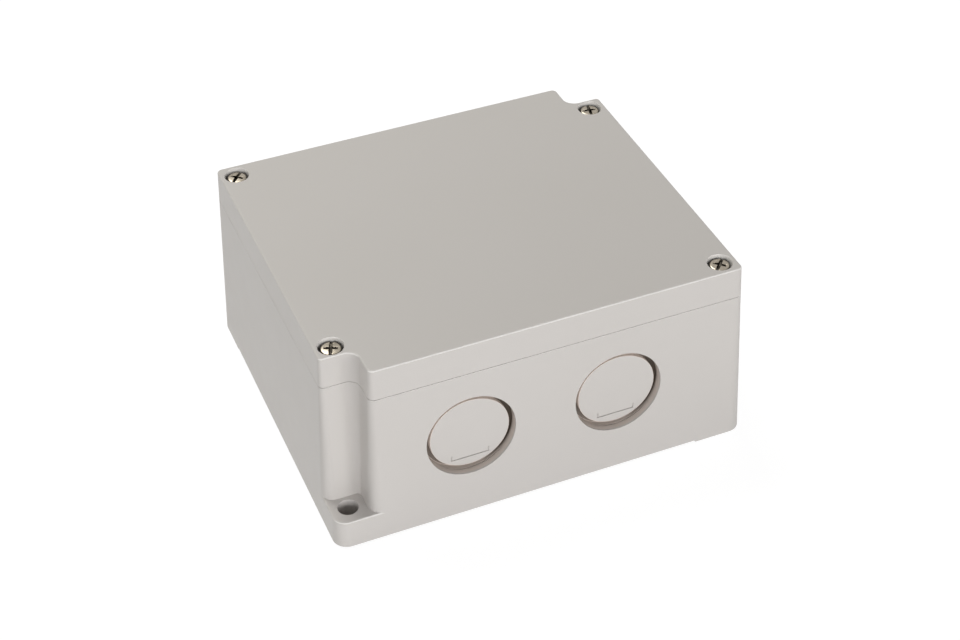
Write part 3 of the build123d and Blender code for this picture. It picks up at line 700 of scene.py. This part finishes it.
def head_grid(turn):
    """Rings run out over the dome, down the rounded side and back in underneath. The painted shade of
    a point grows with its depth in the drive or down the side."""
    angle = np.linspace(0, 2 * math.pi, HEAD_COLUMNS, endpoint=False)
    flat = HEAD_RADIUS - EDGE_ROUND
    out = np.linspace(FIRST_RING, flat, HEAD_ROWS)
    arc = np.linspace(0, math.pi / 2, EDGE_STEPS + 1)[1:]
    radius = np.concatenate([out, flat + EDGE_ROUND * np.sin(arc), [HEAD_RADIUS, SHANK_RADIUS]])
    dome = DOME * (out / HEAD_RADIUS) ** 2
    side = -dome[-1] - (EDGE_ROUND - EDGE_LIP) * (1 - np.cos(arc))
    level = np.concatenate([-dome, side, [-HEAD_HEIGHT, -HEAD_HEIGHT]])[:, None]
    x = radius[:, None] * np.cos(angle)[None, :]
    y = radius[:, None] * np.sin(angle)[None, :]
    cut = drive_depth(x, y) * (level > -HEAD_HEIGHT + SOLID_UNDERSIDE)
    z = level - np.maximum(cut + level, 0)
    c, s = math.cos(turn), math.sin(turn)
    rings = np.stack([c * x - s * y, s * x + c * y, z], axis=-1)
    points, faces = closed_grid(rings, (0, 0, -WING_DEPTH), (0, 0, -HEAD_HEIGHT))
    shade_amount = soft_step(cut, *SHADE_IN_DRIVE) + soft_step(-level, *SHADE_ON_SIDE)
    return points, faces, [*shade_amount.ravel(), 1, 1]


print("head", 2 * HEAD_RADIUS, "mm wide, drive", WING_DEPTH, "mm deep")


# %% [markdown]
# ## The thread
# The shank is a second grid, in height and angle. Its radius follows a triangle wave that climbs one
# pitch a turn, and that is all a screw thread is. A helix of separate faces would need joining; this
# one is a single closed surface.

# %% Screw thread
CORE_RADIUS, PITCH = 2.05, 0.8
THREAD_ROWS_PER_TURN, THREAD_COLUMNS = 8, 48
CREST_GAIN, CREST_CUT = 1.25, 0.12
RUN_OUT = (1.2, 2.0)
POINT_LENGTH, POINT_TAPER = 0.9, 0.8
INSIDE_HEAD = 0.4


def thread_grid(length):
    """The radius is a triangle wave of height and angle together, smooth at the head and tapered at
    the point. The rings start inside the head, so no gap shows."""
    angle = np.linspace(0, 2 * math.pi, THREAD_COLUMNS, endpoint=False)[None, :]
    rows = int(length / PITCH * THREAD_ROWS_PER_TURN)
    down = np.linspace(0.0, length, rows)[:, None]
    phase = (-down / PITCH - angle / (2 * math.pi)) % 1.0
    wave = np.clip(CREST_GAIN * (1 - np.abs(2 * phase - 1)) - CREST_CUT, 0, 1)
    run_out = soft_step(down, *RUN_OUT)
    radius = CORE_RADIUS + (SHANK_RADIUS - CORE_RADIUS) * (wave * run_out + (1 - run_out))
    radius = radius - POINT_TAPER * soft_step(down, length - POINT_LENGTH, length)
    z = -HEAD_HEIGHT + INSIDE_HEAD - down * (1 + INSIDE_HEAD / length) + 0 * angle
    rings = np.stack([radius * np.cos(angle), radius * np.sin(angle), z], axis=-1)
    points, faces = closed_grid(rings, (0, 0, -HEAD_HEIGHT + INSIDE_HEAD),
                                (0, 0, -HEAD_HEIGHT - length))
    return points, faces, np.zeros(len(points))


print("thread of", PITCH, "mm pitch on a core of", 2 * CORE_RADIUS, "mm")


# %% [markdown]
# ## The four lid screws
# Each screw is a head and a thread, and takes its place and its length from the solid that it stands
# for. The heads are turned differently, as they are in the photograph: nobody stops a screw at a
# chosen angle. Each piece keeps its place in its mesh, rides on its own body and replaces its solid.

# %% Screws
SCREW_TURNS = dict(zip(corners, (68, 47, 80, 50)))  # degrees


def mesh_piece(name, shells, place, material):
    """Joins closed shells, given in millimetres, into one object with its place in its vertices."""
    points, faces, start = [], [], 0
    for shell_points, shell_faces, _ in shells:
        points.append(shell_points * MM + np.array(place))
        faces += [tuple(v + start for v in face) for face in shell_faces]
        start += len(shell_points)
    mesh = bpy.data.meshes.new(name)
    mesh.from_pydata(np.vstack(points).tolist(), [], faces)
    mesh.polygons.foreach_set("use_smooth", np.full(len(mesh.polygons), True))
    # The mesh value that says where shade is painted on the screw.
    darkened = mesh.attributes.new("painted_shade", "FLOAT", "POINT")
    darkened.data.foreach_set("value", np.clip(np.concatenate([shell[2] for shell in shells]), 0.0, 1.0))
    mesh.materials.append(material)
    piece = bpy.data.objects.new(name, mesh)
    bpy.context.scene.collection.objects.link(piece)
    return piece


for corner, turn in SCREW_TURNS.items():
    name = "lid_screw_" + corner
    low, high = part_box(name)
    place = ((low[0] + high[0]) / 2, (low[1] + high[1]) / 2, high[2])
    length = (high[2] - low[2]) / MM - HEAD_HEIGHT
    shells = [head_grid(math.radians(turn)), thread_grid(length)]
    screw = mesh_piece(name + "_surface", shells, place, nickel)
    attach(screw, name)
    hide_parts(name)
    print(screw.name, len(screw.data.polygons), "faces")
